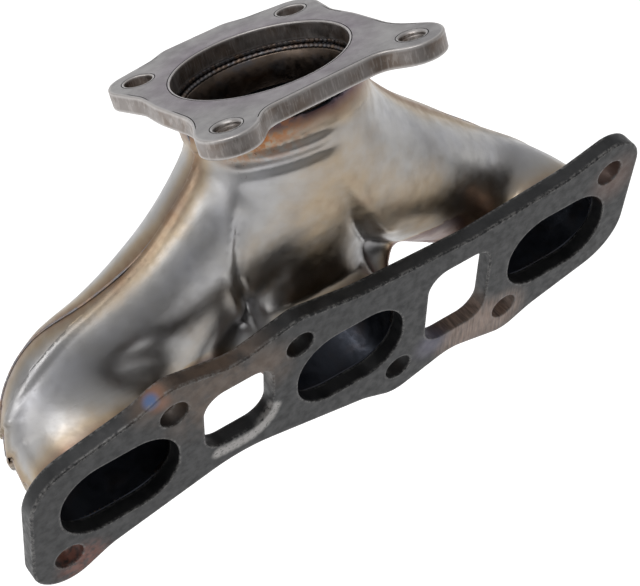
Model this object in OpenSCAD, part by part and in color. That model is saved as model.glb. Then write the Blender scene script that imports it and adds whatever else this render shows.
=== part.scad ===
// Three-port fabricated exhaust manifold.
// Two cut plates are joined by a pair of pressed half shells that form three runners.
// +X runs along the head flange from port 1 to port 3, +Y points away from the engine, +Z is up.
// The origin is the centre of port 2 on the face that meets the engine.

/* [Head flange] */
// Distance between neighbouring ports
port_pitch = 103; // [96:0.5:110]
// Width of each oval port
port_w = 49.8; // [46:0.1:51]
// Height of each oval port
port_h = 37.5; // [34:0.1:39]
// Plate thickness
head_t = 7; // [5:0.5:10]
// Diameter of the six bolt holes
head_bolt_d = 11.9; // [9:0.1:13]
// Bolt offset from its port centre, along the plate
bolt_dx = 24.2; // [23:0.1:26]
// Bolt offset from its port centre, across the plate
bolt_dz = 25.3; // [24.5:0.1:27]
// Radius of the lobe round each bolt
lobe_r = 15; // [13:0.5:16]

/* [Outlet flange] */
// Distance of the outlet face centre behind the engine face
outlet_y = 57.6; // [54:0.2:62]
// Height of the outlet face centre above the ports
outlet_z = 109.7; // [104:0.1:116]
// Tilt of the outlet face, away from the engine
outlet_tilt = 27.7; // [22:0.1:32]
// Plate thickness
outlet_t = 7.2; // [6:0.2:9]
// Diameter of the outlet bore
outlet_bore_d = 65.8; // [62:0.2:68]
// Distance between the two plain holes
plain_span = 67; // [64:0.5:70]
// Distance between the two tapped holes
tapped_span = 76; // [74:0.5:80]
// Diameter of the plain holes
plain_d = 10.7; // [9:0.1:11.5]
// Minor diameter of the tapped holes
tapped_d = 8.6; // [8.2:0.1:9.4]

/* [Shells] */
// Sheet thickness
wall = 1.6; // [1.4:0.1:1.8]
// How far a runner goes straight back before it turns
port_reach = 57; // [50:1:62]
// How far a runner runs straight into the outlet
outlet_reach = 52; // [46:1:58]
// Radius of the seam and fillet weld beads
bead_r = 1.7; // [1.4:0.1:2.2]

/* [Hidden] */

$fn = 64;
// Gap that keeps a fitted sheet edge clear of the piece beside it
fit_gap = 0.12;
// Depth by which a cutter runs past the face it cuts
past = 1;
// Stretch of a thin slice used to hull a weld
slice = 0.1;

port_corner = port_h / 2 - 1.2;
port_x = [-port_pitch, 0, port_pitch];

// Outlet frame: the axis leans back by outlet_tilt.
outlet_axis = [0, sin(outlet_tilt), cos(outlet_tilt)];
outlet_face = [0, outlet_y, outlet_z];
outlet_back = outlet_face - outlet_t * outlet_axis;
bore_r = outlet_bore_d / 2;
// The bore sits a little up the slope from the middle of the bolt group.
bore_shift = 3.9;
plain_v = 36;
tapped_v = -38;
outlet_lobe_r = 11.4;

// Round neck of the shells. Its edge stops short of the flange by the root gap of the weld.
neck_r = bore_r + 1.1;
neck_gap = 1.6;
// Collar: lines the neck from just below its edge, which leaves a step below the bore.
inner_bead = 1;
collar_r = neck_r - wall - fit_gap;
collar_wall = 1.6;
collar_len = 15;

// Runner half widths (in the parting surface) and half heights (across it), port to outlet.
// The runners end just inside the round neck.
runner_end = neck_r - 0.4;
port_a = port_w / 2 + wall;
port_b = port_h / 2 + wall;
runner_a = [
    [port_a, 36, 35.2, 30, 27.4, 27.7, 28, 29.6, runner_end],
    [port_a, 27, 29.5, 31, runner_end],
    [port_a, 22.7, 27.1, 29.8, runner_end]];
runner_b = [
    [port_b, 19.2, 20.6, 25.4, runner_end],
    [port_b, 21.5, 25, 28.5, runner_end],
    [port_b, 18.7, 26.2, 28.3, runner_end]];
// Sideways lean of each runner as it leaves its port and as it nears the outlet.
lean_port = [6, 0, 3];
lean_outlet = [1.5, 0, 2];
// Corner sharpness of the section at the port; 2 is an ellipse.
port_square = 2.7;

runner_steps = 12;
section_points = 24;

// ---- Curves ----

function bezier(a, b, c, d, t) =
    pow(1 - t, 3) * a + 3 * t * pow(1 - t, 2) * b + 3 * t * t * (1 - t) * c + pow(t, 3) * d;

// Smooth value through evenly spaced knots.
function knot(v, i) = v[max(0, min(len(v) - 1, i))];
function spline(v, t) =
    let (s = t * (len(v) - 1), i = max(0, min(floor(s), len(v) - 2)), f = s - i,
        p = knot(v, i - 1), q = knot(v, i), r = knot(v, i + 1), w = knot(v, i + 2))
    q + f * ((r - p) / 2 + f * (p - 2.5 * q + 2 * r - w / 2 + f * (1.5 * (q - r) + (w - p) / 2)));

function unit(v) = v / norm(v);

// Outline that wraps a list of [x, y, r] circles: r > 0 is convex, r < 0 is concave.
function side_normal(p, q) =
    let (d = [q[0] - p[0], q[1] - p[1]], l = norm(d), c = (p[2] - q[2]) / l, s = sqrt(1 - c * c))
    (c * d + s * [d[1], -d[0]]) / l;
function turn(from, to, r) =
    let (t = (((to - from) % 360) + 360) % 360) r > 0 ? (t > 359 ? 0 : t) : (t < 1 ? 0 : t - 360);
function wrap(circles, step = 7) = [
    for (i = [0 : len(circles) - 1])
        let (p = circles[(i + len(circles) - 1) % len(circles)], c = circles[i],
            q = circles[(i + 1) % len(circles)],
            n0 = side_normal(p, c), n1 = side_normal(c, q),
            a0 = atan2(n0[1], n0[0]), sweep = turn(a0, atan2(n1[1], n1[0]), c[2]),
            n = max(1, ceil(abs(sweep) / step)))
        for (k = [0 : n])
            let (a = a0 + sweep * k / n) [c[0] + c[2] * cos(a), c[1] + c[2] * sin(a)]];

// ---- Runner geometry ----

// Centre line of runner i.
neck_end = outlet_back - neck_gap * outlet_axis
    + bore_shift * [0, cos(outlet_tilt), -sin(outlet_tilt)];
function runner_c1(i) = [port_x[i] + lean_port[i], head_t + port_reach, 0];
function runner_c2(i) = outlet_back - outlet_reach * outlet_axis + [lean_outlet[i], 0, 0];
function centre(i, t) = bezier([port_x[i], head_t, 0], runner_c1(i), runner_c2(i), neck_end, t);
function heading(i, t) = unit(centre(i, t + 0.004) - centre(i, t - 0.004));
// Normal of the parting surface, and the sideways direction that lies in it.
function upward(i, t) =
    let (h = heading(i, t)) unit([0, -h[2], h[1]]);
function sideways(i, t) = unit(cross(heading(i, t), upward(i, t)));
function half_a(i, t) = spline(runner_a[i], t);
function half_b(i, t) = spline(runner_b[i], t);

function super(c, e) = sign(c) * pow(abs(c), 2 / e);
function oval(a, b, e) = [
    for (k = [0 : section_points - 1])
        let (w = 360 * (k + 0.5) / section_points) [a * super(cos(w), e), b * super(sin(w), e)]];
function squareness(t) = 2 + (port_square - 2) * pow(1 - t, 2);

// Thin slice across runner i, grown by g.
module section(i, t, g) {
    s = sideways(i, t);
    u = upward(i, t);
    h = cross(s, u);
    p = centre(i, t);
    multmatrix([[s[0], u[0], h[0], p[0]], [s[1], u[1], h[1], p[1]], [s[2], u[2], h[2], p[2]]])
        linear_extrude(slice)
            polygon(oval(half_a(i, t) + g, half_b(i, t) + g, squareness(t)));
}

// Solid runner, grown by g. It runs a little past both ends of its centre line.
overrun = 0.03;
function step_t(k) = -overrun + (1 + 2 * overrun) * k / runner_steps;
module runner(i, g = 0) {
    n = section_points;
    points = [for (k = [0 : runner_steps])
        let (t = step_t(k), p = centre(i, t), s = sideways(i, t), u = upward(i, t))
        for (q = oval(half_a(i, t) + g, half_b(i, t) + g, squareness(t))) p + q[0] * s + q[1] * u];
    skin = [for (k = [0 : runner_steps - 1]) for (j = [0 : n - 1])
        let (a = k * n + j, b = k * n + (j + 1) % n) for (f = [[a, b, a + n], [b, b + n, a + n]]) f];
    start = [for (j = [n - 1 : -1 : 0]) j];
    end = [for (j = [0 : n - 1]) runner_steps * n + j];
    polyhedron(points, concat([start, end], skin));
}

// Round neck that takes the collar, grown by g. A shelf closes its lower end round the runners.
neck_depth = collar_len + wall;
module neck(g = 0) {
    depth = neck_depth + g;
    at_outlet(-outlet_t - neck_gap - depth) rotate([0, 0, 180 / $fn])
        cylinder(r = neck_r + g, h = depth + past);
}

// Point on the parting surface: x along the plate, t along the runners.
function on_parting(p) = [p[0], centre(1, p[1])[1], centre(1, p[1])[2]];

// Pressed webs that close the space between the runners. Each crotch is open towards the plate:
// rim is the edge of its web and root is where the web runs into the runners, as [x, t].
left_rim = [[-73, 0.045], [-66, 0.09], [-57, 0.13], [-46, 0.13], [-37, 0.09], [-31, 0.045]];
left_root = [[-92, 0.06], [-88, 0.15], [-75, 0.3], [-30, 0.3], [-15, 0.15], [-12, 0.06]];
right_rim = [[30, 0.045], [33, 0.09], [38.5, 0.16], [47.5, 0.22], [61, 0.15], [70, 0.08], [74, 0.045]];
right_root = [[12, 0.06], [12, 0.12], [18, 0.25], [38, 0.34], [80, 0.3], [88, 0.15], [90, 0.06]];
crotches = [[left_rim, left_root], [right_rim, right_root]];
web_half = 2.4;
web_to = 0.75;
web_steps = 5;
module web(c, half) {
    rim = crotches[c][0];
    root = crotches[c][1];
    for (k = [0 : len(rim) - 2]) hull() {
        for (p = [rim[k], rim[k + 1], root[k], root[k + 1]])
            translate(on_parting(p)) sphere(r = half, $fn = 8);
    }
    from = 0.28;
    for (k = [0 : web_steps - 1]) hull() {
        for (j = [0, 1])
            let (t = from + (web_to - from) * (k + j) / web_steps)
            for (i = [c, c + 1])
                translate(centre(i, t)) sphere(r = half, $fn = 8);
    }
}

module runners(g = 0) {
    for (i = [0 : 2]) runner(i, g);
    neck(g);
    for (c = [0, 1]) web(c, web_half + g);
}

// Everything above the parting surface.
curve_steps = 19;
module above_parting() {
    curve = [for (k = [0 : curve_steps])
        let (t = -1.5 * overrun + (1 + 3 * overrun) * k / curve_steps, p = centre(1, t)) [p[1], p[2]]];
    far_y = outlet_y + 200 * sin(outlet_tilt);
    far_z = outlet_z + 200 * cos(outlet_tilt);
    translate([-2 * port_pitch, 0, 0]) rotate([90, 0, 90]) linear_extrude(4 * port_pitch)
        polygon(concat([[-50, 0]], curve, [[far_y, far_z], [-50, far_z]]));
}

// Inside of the runners and of the neck: the gas space.
module gas_space() {
    for (i = [0 : 2]) runner(i, -wall);
    neck(-wall);
}

// Children placed on the outlet axis, at height h from the outlet face.
module at_outlet(h = 0) {
    translate(outlet_face) rotate([-outlet_tilt, 0, 0]) translate([0, bore_shift, h]) children();
}

// Row of bead spheres joined along the edge of runner i. side is 1 or -1.
module bead(i, side, from, to, steps, r) {
    for (k = [0 : steps - 1]) hull() {
        for (j = [0, 1])
            let (t = from + (to - from) * (k + j) / steps)
            translate(centre(i, t) + side * half_a(i, t) * sideways(i, t))
                sphere(r = r, $fn = 10);
    }
}

// ---- Flange outlines ----

// Bolt b sits low or high on one side of its port.
bolt_side = [[0, -1, -1], [0, 1, 1], [1, -1, 1], [1, 1, -1], [2, -1, -1], [2, 1, 1]];
function bolt_at(b) = [
    port_x[bolt_side[b][0]] + bolt_side[b][1] * bolt_dx, bolt_side[b][2] * bolt_dz];
function lobe(b) = [bolt_at(b)[0], bolt_at(b)[1], lobe_r];
// Concave dip centred at x whose crest reaches z, on the lower (dir -1) or upper (dir 1) edge.
function dip(x, z, r, dir) = [x, z + dir * r, -r];
end_r = 22.5;
end_x = port_pitch + 15;
waist_x = port_pitch / 2;
head_outline = [
    lobe(0), dip(-port_pitch + 2, -31.8, 25, -1), dip(-waist_x, -21.8, 60, -1),
    dip(0, -33, 24, -1), lobe(3), dip(waist_x, -34, 22, -1), lobe(4),
    dip(port_pitch, -33.6, 28, -1), [end_x, -6, end_r], lobe(5),
    dip(port_pitch - 8, 34.6, 60, 1), dip(waist_x + 5, 31.6, 60, 1), dip(10, 34.5, 50, 1), lobe(2),
    dip(-waist_x, 34.6, 22, 1), lobe(1), dip(-port_pitch, 33, 26, 1), [-end_x + 1, 6, end_r]];
window_r = 9.2;
window_left = [-waist_x, 6.3, 30.4, 32.4];
window_right = [waist_x + 0.6, -0.3, 30.6, 41.2];
function window_outline(w) = [
    for (c = [[-1, -1], [1, -1], [1, 1], [-1, 1]])
        [w[0] + c[0] * (w[2] / 2 - window_r), w[1] + c[1] * (w[3] / 2 - window_r), window_r]];

hub_r = 42.8;
outlet_outline = [
    [-tapped_span / 2, tapped_v, outlet_lobe_r], [-19.5, -39 - 9, -9], [19.5, -39 - 9, -9],
    [tapped_span / 2, tapped_v, outlet_lobe_r], [42.3 + 26, -15, -26],
    [0, bore_shift, hub_r], [41.8 + 16, 18, -16],
    [plain_span / 2, plain_v, outlet_lobe_r], [24.5, 49.8 + 10, -10],
    [11, 44.4, 10], [-11, 44.4, 10], [-24.5, 49.8 + 10, -10],
    [-plain_span / 2, plain_v, outlet_lobe_r], [-41.8 - 16, 18, -16],
    [0, bore_shift, hub_r], [-42.3 - 26, -15, -26]];
plain_at = [[-plain_span / 2, plain_v], [plain_span / 2, plain_v]];
tapped_at = [[-tapped_span / 2, tapped_v], [tapped_span / 2, tapped_v]];

// Plate in the X-Z plane, from the engine face back by t.
module standing(t) {
    translate([0, t, 0]) rotate([90, 0, 0]) linear_extrude(t) children();
}

// ---- Sub-parts ----

module head_flange() {
    color([0.20, 0.19, 0.19]) difference() {
        standing(head_t) polygon(wrap(head_outline));
        for (x = port_x)
            translate([x, -past, 0]) standing(head_t + 2 * past)
                polygon(wrap([
                    for (c = [[-1, -1], [1, -1], [1, 1], [-1, 1]])
                        [c[0] * (port_w / 2 - port_corner), c[1] * (port_h / 2 - port_corner),
                            port_corner]]));
        for (w = [window_left, window_right])
            translate([0, -past, 0]) standing(head_t + 2 * past) polygon(wrap(window_outline(w)));
        for (b = [0 : 5])
            translate([bolt_at(b)[0], head_t + past, bolt_at(b)[1]]) rotate([90, 0, 0])
                cylinder(d = head_bolt_d, h = head_t + 2 * past);
    }
}

chamfer = 1;
module outlet_flange() {
    color([0.62, 0.60, 0.60]) translate(outlet_face) rotate([-outlet_tilt, 0, 0]) difference() {
        translate([0, 0, -outlet_t]) linear_extrude(outlet_t) polygon(wrap(outlet_outline));
        translate([0, bore_shift, -outlet_t - past]) cylinder(r = bore_r, h = outlet_t + 2 * past);
        translate([0, bore_shift, -chamfer])
            cylinder(r1 = bore_r, r2 = bore_r + 2 * chamfer, h = 2 * chamfer);
        for (p = plain_at)
            translate([p[0], p[1], -outlet_t - past]) cylinder(d = plain_d, h = outlet_t + 2 * past);
        for (p = tapped_at) {
            translate([p[0], p[1], -outlet_t - past]) cylinder(d = tapped_d, h = outlet_t + 2 * past);
            translate([p[0], p[1], -chamfer])
                cylinder(d1 = tapped_d, d2 = tapped_d + 4 * chamfer, h = 2 * chamfer);
        }
    }
}

module upper_shell() {
    color([0.60, 0.58, 0.57]) difference() {
        intersection() {
            runners();
            above_parting();
        }
        gas_space();
        clear_of_ends();
    }
}

// Space that belongs to the flanges and the collar.
module clear_of_ends() {
    translate([-2 * port_pitch, head_t - 50, -port_pitch]) cube([4 * port_pitch, 50, 300]);
    at_outlet(-outlet_t - neck_gap) cylinder(r = 2 * neck_r, h = 40);
    at_outlet(-outlet_t - collar_len - fit_gap) rotate([0, 0, 180 / $fn])
        cylinder(r = collar_r + fit_gap, h = 60);
}

module lower_shell() {
    color([0.52, 0.50, 0.49]) difference() {
        runners();
        above_parting();
        gas_space();
        clear_of_ends();
    }
}

module outlet_collar() {
    height = collar_len - neck_gap - inner_bead;
    color([0.40, 0.37, 0.35]) at_outlet(-outlet_t - collar_len) difference() {
        cylinder(r = collar_r, h = height);
        translate([0, 0, -past]) cylinder(r = collar_r - collar_wall, h = height + 2 * past);
    }
}

// Fillet round runner i where it meets the back of the head flange.
weld_end = 0.025;
module port_weld(i) {
    color([0.30, 0.27, 0.26]) difference() {
        hull() {
            section(i, 0, 2 * bead_r);
            section(i, weld_end, 0.3);
        }
        hull() {
            section(i, step_t(0), 0.05);
            section(i, step_t(1), 0.05);
        }
        translate([-2 * port_pitch, head_t - 50, -port_pitch]) cube([4 * port_pitch, 50, 300]);
    }
}
module port_weld_1() { port_weld(0); }
module port_weld_2() { port_weld(1); }
module port_weld_3() { port_weld(2); }

seam_from = 0.03;
module seam(rows) {
    color([0.38, 0.31, 0.27]) difference() {
        for (row = rows) bead(row[0], row[1], seam_from, row[2], 16, bead_r);
        runners(0.05);
        clear_of_ends();
    }
}
module left_seam_weld() { seam([[0, -1, 0.9]]); }
module right_seam_weld() { seam([[2, 1, 0.9]]); }

// Bead along the edge of web c. The first and last stretch of the edge lie under the port welds.
module crotch_weld(c) {
    rim = crotches[c][0];
    root = crotches[c][1];
    edge = [for (k = [1 : len(rim) - 2])
        let (p = on_parting(rim[k]), q = on_parting(root[k])) p + web_half * unit(p - q)];
    color([0.38, 0.31, 0.27]) difference() {
        for (k = [0 : len(edge) - 2]) hull() {
            translate(edge[k]) sphere(r = bead_r, $fn = 10);
            translate(edge[k + 1]) sphere(r = bead_r, $fn = 10);
        }
        runners(0.05);
        clear_of_ends();
    }
}
module crotch_weld_left() { crotch_weld(0); }
module crotch_weld_right() { crotch_weld(1); }

// Weld beads round the outlet axis. They keep this far from the faces that they join.
touch = 0.02;
// Bead inside the neck, on top of the collar.
module collar_weld() {
    r = neck_r - wall - touch;
    color([0.45, 0.36, 0.30])
        at_outlet(-outlet_t - neck_gap - inner_bead + touch) rotate_extrude()
            polygon([[r, 0], [r - inner_bead, 0], [r, inner_bead]]);
}
// Fillet outside, with its root in the gap between the neck and the back of the flange.
outlet_bead = 2.6;
module outlet_weld() {
    r = neck_r + touch;
    root_r = neck_r - wall / 4;
    root = neck_gap - 2 * touch;
    color([0.42, 0.33, 0.28]) at_outlet(-outlet_t - touch) rotate_extrude()
        polygon([[root_r, 0], [r + outlet_bead, 0], [r, -root - outlet_bead], [r, -root],
            [root_r, -root]]);
}

head_flange();
outlet_flange();
upper_shell();
lower_shell();
outlet_collar();
port_weld_1();
port_weld_2();
port_weld_3();
left_seam_weld();
right_seam_weld();
crotch_weld_left();
crotch_weld_right();
collar_weld();
outlet_weld();
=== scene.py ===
# Exhaust manifold: two plates joined by a pair of pressed half shells.
# The shells are one smooth surface, worked out as a distance field round three runners.
import math

import bpy
import numpy as np
from mathutils import Matrix, Vector
from mathutils.geometry import tessellate_polygon


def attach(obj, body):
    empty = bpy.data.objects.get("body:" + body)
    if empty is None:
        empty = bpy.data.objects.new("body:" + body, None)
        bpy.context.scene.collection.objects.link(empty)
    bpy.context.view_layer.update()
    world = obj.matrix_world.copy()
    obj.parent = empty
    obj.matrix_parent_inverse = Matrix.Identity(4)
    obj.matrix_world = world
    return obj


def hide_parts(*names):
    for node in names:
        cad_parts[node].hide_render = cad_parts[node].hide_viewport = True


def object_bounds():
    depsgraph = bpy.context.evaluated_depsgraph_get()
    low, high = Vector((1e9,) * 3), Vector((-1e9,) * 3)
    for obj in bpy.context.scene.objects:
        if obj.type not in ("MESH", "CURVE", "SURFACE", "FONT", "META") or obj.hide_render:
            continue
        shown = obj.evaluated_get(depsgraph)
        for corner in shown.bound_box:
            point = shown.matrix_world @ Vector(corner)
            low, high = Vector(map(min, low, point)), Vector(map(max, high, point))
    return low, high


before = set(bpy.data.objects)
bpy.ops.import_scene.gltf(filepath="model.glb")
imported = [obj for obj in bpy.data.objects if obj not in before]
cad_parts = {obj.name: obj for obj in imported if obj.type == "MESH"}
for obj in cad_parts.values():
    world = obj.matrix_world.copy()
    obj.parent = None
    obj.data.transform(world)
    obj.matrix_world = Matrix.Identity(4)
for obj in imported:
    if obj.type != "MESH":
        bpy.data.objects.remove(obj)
cad_low, cad_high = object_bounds()
MM = 0.001

# ---- Driving sizes, in millimetres ----
# They are the CAD's, except that the webs are a little thicker and the opening between
# runners 2 and 3 reaches a little higher.

PORT_PITCH = 103.0
PORT_W, PORT_H = 49.8, 37.5
HEAD_T = 7.0
BOLT_D = 11.9
BOLT_DX, BOLT_DZ = 24.2, 25.3
LOBE_R = 15.0
WINDOW_R = 9.2
OUTLET_FACE = np.array([0.0, 57.6, 109.7])
TILT = math.radians(27.7)
OUTLET_T = 7.2
BORE_R = 32.9
BORE_SHIFT = 3.9
PLAIN_R, TAPPED_R = 5.35, 4.3
LOBE_OUT = 11.4
HUB_R = 42.8
WALL = 1.6
NECK_R = BORE_R + 1.1
NECK_GAP = 1.6
INNER_BEAD = 1.0
COLLAR_R = NECK_R - WALL - 0.12
COLLAR_LEN = 15.0
PORT_REACH, OUTLET_REACH = 57.0, 52.0
PORTS = (-PORT_PITCH, 0.0, PORT_PITCH)

AXIS = np.array([0.0, math.sin(TILT), math.cos(TILT)])
SLOPE = np.array([0.0, math.cos(TILT), -math.sin(TILT)])
OUTLET_BACK = OUTLET_FACE - OUTLET_T * AXIS
BORE_BACK = OUTLET_BACK + BORE_SHIFT * SLOPE
NECK_END = BORE_BACK - NECK_GAP * AXIS

# Half widths and half heights of the three runners, port to outlet.
PORT_A, PORT_B = PORT_W / 2 + WALL, PORT_H / 2 + WALL
END_R = NECK_R - 0.4
RUNNER_A = (
    (PORT_A, 36, 35.2, 30, 27.4, 27.7, 28, 29.6, END_R),
    (PORT_A, 27, 29.5, 31, END_R),
    (PORT_A, 22.7, 27.1, 29.8, END_R),
)
RUNNER_B = (
    (PORT_B, 19.2, 20.6, 25.4, END_R),
    (PORT_B, 21.5, 25, 28.5, END_R),
    (PORT_B, 18.7, 26.2, 28.3, END_R),
)
LEAN_PORT = (6.0, 0.0, 3.0)
LEAN_OUTLET = (1.5, 0.0, 2.0)
PORT_SQUARE = 2.7
# Edges of the two crotches, as x and how far along the runners.
LEFT_RIM = ((-73, 0.045), (-66, 0.09), (-57, 0.13), (-46, 0.13), (-37, 0.09), (-31, 0.045))
RIGHT_RIM = ((30, 0.045), (33, 0.09), (38.5, 0.17), (47.5, 0.235), (61, 0.165), (70, 0.08),
             (74, 0.045))
# Folds pressed into the front of the upper shell, as x and how far along the runners.
RIDGE_12 = ((-28.5, 0.14), (-37.8, 0.52), (-40.9, 0.65), (-36.4, 0.77), (-30, 0.88))
CREASE_12 = ((-25.8, 0.15), (-26.7, 0.33), (-35.8, 0.61), (-34.8, 0.71), (-31, 0.80))
RIDGE_23 = ((33, 0.45), (27.6, 0.54), (15.9, 0.71), (8.7, 0.80), (2.5, 0.87))
DIMPLE = (-79.0, 23.0, 27.0)
DIMPLE_SIZE = (15, 10, 8)
# The webs' half thickness, its rounding and how far along the runners they reach.
WEB_HALF = 3.6
WEB_ROUND = 3.0
WEB_TO = 0.75
# Where an opening between runners is closed off, on the engine side of the head flange.
BEFORE_PORT = -40
# Stretch of the seam welds along the runners, and the radius of the thin beads.
SEAM_FROM, SEAM_TO = 0.03, 0.9
SEAM_R, CROTCH_R = 0.6, 0.8
LAP = 0.7


# ---- Curves ----

def bezier(a, b, c, d, t):
    t = np.asarray(t, float)[..., None]
    return (1 - t) ** 3 * a + 3 * t * (1 - t) ** 2 * b + 3 * t * t * (1 - t) * c + t ** 3 * d


def bezier_speed(a, b, c, d, t):
    t = np.asarray(t, float)[..., None]
    return 3 * (1 - t) ** 2 * (b - a) + 6 * t * (1 - t) * (c - b) + 3 * t * t * (d - c)


def spline(v, t):
    v = np.asarray(v, float)
    last = len(v) - 1
    s = np.asarray(t, float) * last
    i = np.clip(np.floor(s).astype(int), 0, last - 1)
    f = s - i
    p, q, r, w = (v[np.clip(i + k, 0, last)] for k in (-1, 0, 1, 2))
    return q + f * ((r - p) / 2 + f * (p - 2.5 * q + 2 * r - w / 2 + f * (1.5 * (q - r) + (w - p) / 2)))


def runner_points(i):
    start = np.array([PORTS[i], HEAD_T, 0.0])
    c1 = np.array([PORTS[i] + LEAN_PORT[i], HEAD_T + PORT_REACH, 0.0])
    c2 = OUTLET_BACK - OUTLET_REACH * AXIS + np.array([LEAN_OUTLET[i], 0.0, 0.0])
    return start, c1, c2, NECK_END


def unit(v):
    return v / np.linalg.norm(v, axis=-1, keepdims=True)


def smooth(x, low, high):
    f = np.clip((x - low) / (high - low), 0, 1)
    return f * f * (3 - 2 * f)


def smooth_min(a, b, k):
    h = np.clip(0.5 + 0.5 * (b - a) / k, 0, 1)
    return b + (a - b) * h - k * h * (1 - h)


# ---- Distance field of the shells ----

def nearest_t(p, i, t_low=-0.12, t_high=1.12, count=36):
    ctrl = runner_points(i)
    ts = np.linspace(t_low, t_high, count)
    line = bezier(*ctrl, ts)
    best = np.full(len(p), 1e9)
    t = np.zeros(len(p))
    for k in range(count):
        d = ((p - line[k]) ** 2).sum(1)
        closer = d < best
        best = np.where(closer, d, best)
        t = np.where(closer, ts[k], t)
    for _ in range(4):
        speed = bezier_speed(*ctrl, t)
        step = ((p - bezier(*ctrl, t)) * speed).sum(1) / (speed ** 2).sum(1)
        t = np.clip(t + np.clip(step, -0.03, 0.03), t_low, t_high)
    return t


def runner_field(p, i):
    """Distance to the outside of runner i, and how far along it each point lies."""
    ctrl = runner_points(i)
    t = nearest_t(p, i)
    heading = unit(bezier_speed(*ctrl, t))
    up = unit(np.stack([np.zeros(len(p)), -heading[:, 2], heading[:, 1]], 1))
    side = unit(np.cross(heading, up))
    off = p - bezier(*ctrl, t)
    u, v = (off * side).sum(1), (off * up).sum(1)
    a, b = spline(RUNNER_A[i], np.clip(t, 0, 1)), spline(RUNNER_B[i], np.clip(t, 0, 1))
    e = 2 + (PORT_SQUARE - 2) * (1 - np.clip(t, 0, 1)) ** 2
    ua, vb = np.abs(u) / a + 1e-9, np.abs(v) / b + 1e-9
    rho = (ua ** e + vb ** e) ** (1 / e)
    # first-order distance: value over gradient length
    gu = (ua / rho) ** (e - 1) / a
    gv = (vb / rho) ** (e - 1) / b
    return (rho - 1) / np.maximum(np.hypot(gu, gv), 1e-6), t


def parting(p):
    """Height above the parting surface, which is runner 2's centre line swept along X."""
    flat = np.stack([np.zeros(len(p)), p[:, 1], p[:, 2]], 1)
    ctrl = runner_points(1)
    t = nearest_t(flat, 1, -0.5, 1.5, 60)
    heading = unit(bezier_speed(*ctrl, t))
    off = flat - bezier(*ctrl, t)
    return off[:, 2] * heading[:, 1] - off[:, 1] * heading[:, 2], t


def rim_loop(rim, steps=8):
    """Smooth outline of a crotch's opening in (x, how far along the runners)."""
    rim = np.array(rim, float)
    s = np.linspace(0, 1, steps * (len(rim) - 1) + 1)
    x, t = spline(rim[:, 0], s), spline(rim[:, 1], s)
    return x, t


ALONG_T = np.linspace(-0.3, 1.3, 400)
_line = bezier(*runner_points(1), ALONG_T)
ALONG_S = np.concatenate([[0], np.cumsum(np.linalg.norm(np.diff(_line, axis=0), axis=1))])
ALONG_S -= np.interp(0, ALONG_T, ALONG_S)


def polygon_distance(px, py, qx, qy):
    """Signed distance to a closed polygon, negative inside."""
    best = np.full(len(px), 1e9)
    inside = np.zeros(len(px), bool)
    for k in range(len(qx)):
        ax, ay, bx, by = qx[k - 1], qy[k - 1], qx[k], qy[k]
        dx, dy = bx - ax, by - ay
        f = np.clip(((px - ax) * dx + (py - ay) * dy) / (dx * dx + dy * dy + 1e-12), 0, 1)
        best = np.minimum(best, np.hypot(px - ax - f * dx, py - ay - f * dy))
        cross = ((ay > py) != (by > py))
        with np.errstate(divide="ignore", invalid="ignore"):
            hit = px < ax + (py - ay) * dx / (dy if dy else 1e-12)
        inside ^= cross & hit
    return np.where(inside, -best, best)


def rim_distance(p, t, rim):
    """Distance to the opening between two runners, measured on the parting surface."""
    x, rim_t = rim_loop(rim)
    along = np.interp(rim_t, ALONG_T, ALONG_S)
    x = np.concatenate([[x[0]], x, [x[-1]]])
    along = np.concatenate([[BEFORE_PORT], along, [BEFORE_PORT]])
    return polygon_distance(p[:, 0], np.interp(t, ALONG_T, ALONG_S), x, along)


def web_field(p, s, t, rim, left, right):
    """Distance to the flat web between two runners."""
    gap = rim_distance(p, t, rim)
    r = WEB_ROUND
    q = np.stack([np.abs(s) - WEB_HALF + r, r - gap], 1)
    web = np.linalg.norm(np.maximum(q, 0), axis=1) + np.minimum(q.max(1), 0) - r
    x0, x1 = (bezier(*runner_points(i), t)[:, 0] for i in (left, right))
    web = np.maximum(web, np.maximum(x0 - p[:, 0], p[:, 0] - x1))
    return np.maximum(web, (t - WEB_TO) * 150)


def neck_field(p):
    """Distance to the round neck, and how far past its open end each point lies."""
    off = p - NECK_END
    along = off @ AXIS
    radial = np.linalg.norm(off - along[:, None] * AXIS, axis=1)
    return np.maximum(radial - NECK_R, np.abs(along + 4.0) - 6.5), along


def shell_field(p):
    f1, f2, f3 = (runner_field(p, i)[0] for i in range(3))
    s, t = parting(p)
    left = web_field(p, s, t, LEFT_RIM, 0, 1)
    right = web_field(p, s, t, RIGHT_RIM, 1, 2)
    # The first valley stays a crease near the outlet; the second opens into a wide saddle.
    f12 = smooth_min(f1, f2, 3.5)
    f12 = smooth_min(f12, left, 9.0)
    f23 = smooth_min(smooth_min(f2, f3, 6.0), right, 6.0)
    f = np.minimum(f12, f23)
    f = smooth_min(f, np.minimum(f12, f3), 1.5)
    neck, along = neck_field(p)
    # Shallow rings pressed below the neck, on the engine side.
    front = smooth(off_slope(p), 5, 20)
    rings = 1.3 * np.exp(-((along + 10) / 2.2) ** 2) - 1.1 * np.exp(-((along + 14.5) / 2.4) ** 2)
    rings = rings + 1.1 * np.exp(-((along + 19) / 2.2) ** 2)
    rings = rings - 0.6 * np.exp(-((along + 23.5) / 2.4) ** 2)
    f = f + rings * front * smooth(-np.abs(p[:, 0] + 12), -22, -8)
    f = f + folds(p, s, t, f2, f3)
    f = smooth_min(f, neck, 2.5)
    # Slow unevenness of a pressed sheet.
    wave = np.sin(p[:, 0] / 11 + p[:, 2] / 17) * np.sin(p[:, 1] / 13 - p[:, 2] / 9 + 1)
    return f + 0.22 * wave


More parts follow.
